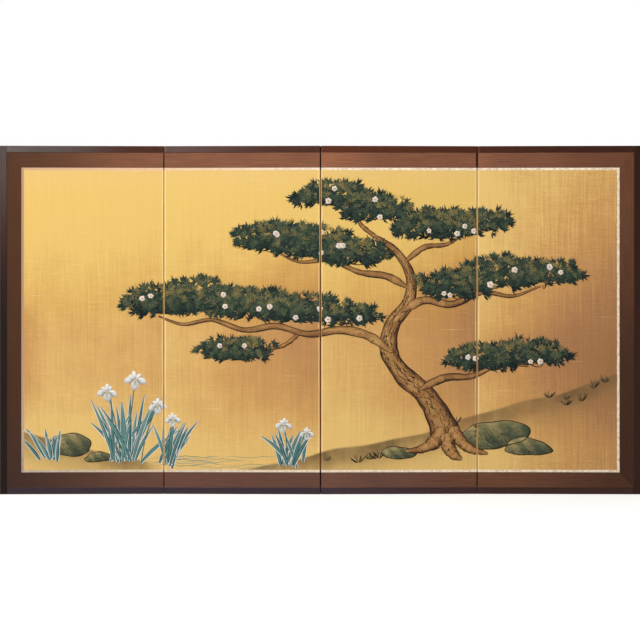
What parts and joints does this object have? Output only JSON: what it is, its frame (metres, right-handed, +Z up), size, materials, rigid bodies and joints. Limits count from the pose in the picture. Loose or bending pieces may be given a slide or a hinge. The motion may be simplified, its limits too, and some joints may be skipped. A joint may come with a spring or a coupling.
{
  "type": "folding screen",
  "caption": "Low folding screen whose silk-faced leaves on lattice cores stand in a shallow zigzag and fold flat on paper hinges.",
  "frame": {"origin": "middle of the foot of the standing screen, on the floor", "axes": "+X along the screen to the right as seen from the picture side, -Y out of the picture towards the viewer, +Z up"},
  "size_m": [1.6834, 0.0413, 0.914],
  "materials": {
    "lacquer": "dark brown lacquer, satin gloss",
    "border_silk": "plain brown silk",
    "brocade": "pale gold figured brocade",
    "picture_silk": "gold-ground silk",
    "hinge_paper": "gold-faced mulberry paper",
    "underpaper": "layered mulberry paper",
    "back_cloth": "dark plain cloth",
    "cedar": "planed cedar",
    "nail_iron": "dull iron"
  },
  "bodies": {
    "panel_1": {"panel_1_back_cloth": "back_cloth", "panel_1_border_silk": "border_silk", "panel_1_bottom_rail": "lacquer", "panel_1_brocade_strip": "brocade", "panel_1_core_crossbars": "cedar", "panel_1_core_rails": "cedar", "panel_1_core_stiles": "cedar", "panel_1_core_uprights": "cedar", "panel_1_nails": "nail_iron", "panel_1_outer_stile": "lacquer", "panel_1_picture_silk": "picture_silk", "panel_1_top_rail": "lacquer", "panel_1_underpaper": "underpaper", "seam_1_left_hinge_strips": "hinge_paper"},
    "panel_2": {"panel_2_back_cloth": "back_cloth", "panel_2_border_silk": "border_silk", "panel_2_bottom_rail": "lacquer", "panel_2_brocade_strip": "brocade", "panel_2_core_crossbars": "cedar", "panel_2_core_rails": "cedar", "panel_2_core_stiles": "cedar", "panel_2_core_uprights": "cedar", "panel_2_nails": "nail_iron", "panel_2_picture_silk": "picture_silk", "panel_2_top_rail": "lacquer", "panel_2_underpaper": "underpaper", "seam_1_right_hinge_strips": "hinge_paper", "seam_2_left_hinge_strips": "hinge_paper"},
    "panel_3": {"panel_3_back_cloth": "back_cloth", "panel_3_border_silk": "border_silk", "panel_3_bottom_rail": "lacquer", "panel_3_brocade_strip": "brocade", "panel_3_core_crossbars": "cedar", "panel_3_core_rails": "cedar", "panel_3_core_stiles": "cedar", "panel_3_core_uprights": "cedar", "panel_3_nails": "nail_iron", "panel_3_picture_silk": "picture_silk", "panel_3_top_rail": "lacquer", "panel_3_underpaper": "underpaper", "seam_2_right_hinge_strips": "hinge_paper", "seam_3_left_hinge_strips": "hinge_paper"},
    "panel_4": {"panel_4_back_cloth": "back_cloth", "panel_4_border_silk": "border_silk", "panel_4_bottom_rail": "lacquer", "panel_4_brocade_strip": "brocade", "panel_4_core_crossbars": "cedar", "panel_4_core_rails": "cedar", "panel_4_core_stiles": "cedar", "panel_4_core_uprights": "cedar", "panel_4_nails": "nail_iron", "panel_4_outer_stile": "lacquer", "panel_4_picture_silk": "picture_silk", "panel_4_top_rail": "lacquer", "panel_4_underpaper": "underpaper", "seam_3_right_hinge_strips": "hinge_paper"}
  },
  "joints": [
    {"name": "middle_fold", "type": "hinge", "parent": "panel_2", "child": "panel_3", "pos_m": [0, -0.00066, 0.457], "axis": [0, 0, 1], "range_deg": [-6, 174]},
    {"name": "left_fold", "type": "hinge", "parent": "panel_2", "child": "panel_1", "pos_m": [-0.41145, 0.00157, 0.457], "axis": [0, 0, 1], "range_deg": [-6, 174]},
    {"name": "right_fold", "type": "hinge", "parent": "panel_3", "child": "panel_4", "pos_m": [0.41145, 0.00157, 0.457], "axis": [0, 0, -1], "range_deg": [-6, 174]}
  ],
  "couplings": [
    {"joint": "left_fold", "follows": "middle_fold", "ratio": 1},
    {"joint": "right_fold", "follows": "middle_fold", "ratio": 1}
  ]
}
